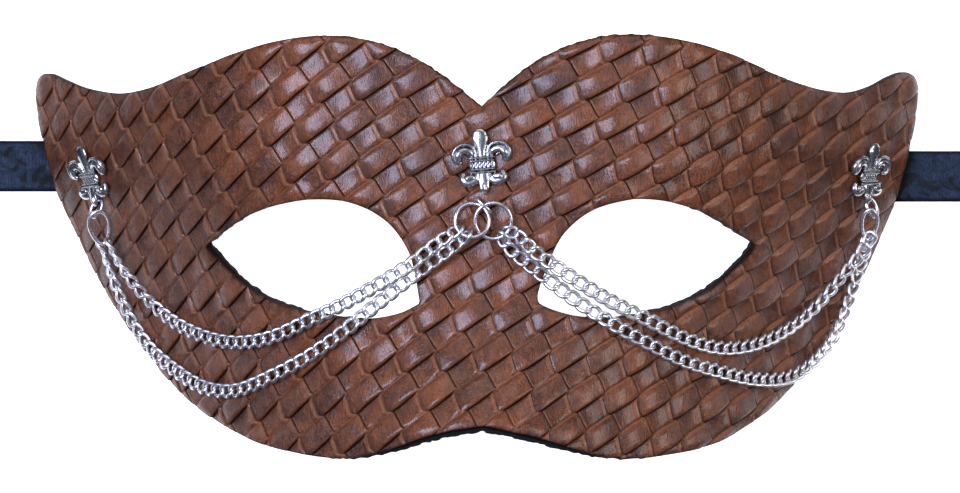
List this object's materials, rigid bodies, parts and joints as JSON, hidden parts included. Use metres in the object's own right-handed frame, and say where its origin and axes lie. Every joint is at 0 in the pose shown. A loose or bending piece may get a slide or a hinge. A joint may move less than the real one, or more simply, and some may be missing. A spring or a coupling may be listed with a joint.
{
  "type": "masquerade eye mask",
  "caption": "Half mask of woven-pattern leather on felt, with two eye holes, fleur-de-lis charms, draped chains and tie ribbons, lying face up.",
  "frame": {"origin": "on the surface that the mask lies on, under the middle of the mask without its ribbons", "axes": "+X to the right of the mask as its face is looked at, +Y to its upper edge, +Z away from the surface, out of its face"},
  "size_m": [0.309, 0.0843, 0.0606],
  "materials": {
    "leather": "glossy embossed basket weave, purplish brown with red-brown worn edges",
    "felt": "dark navy felt lining",
    "cast_metal": "cast, antique silver plated, dark in its recesses",
    "wire_metal": "bright silver plated wire",
    "ribbon": "thin woven ribbon, navy, slightly crinkled"
  },
  "bodies": {
    "root": {"mask_leather": "leather", "mask_lining": "felt", "charm_center": "cast_metal", "charm_left": "cast_metal", "charm_right": "cast_metal", "center_ring_left": "wire_metal", "center_ring_right": "wire_metal", "side_small_link_left": "wire_metal", "side_small_link_right": "wire_metal", "side_long_link_left": "wire_metal", "side_long_link_right": "wire_metal", "center_wire_link": "wire_metal", "chain_upper_left": "wire_metal", "chain_lower_left": "wire_metal", "chain_upper_right": "wire_metal", "chain_lower_right": "wire_metal", "ribbon_left": "ribbon", "ribbon_roll_left": "ribbon", "ribbon_right": "ribbon", "ribbon_roll_right": "ribbon"}
  },
  "joints": []
}
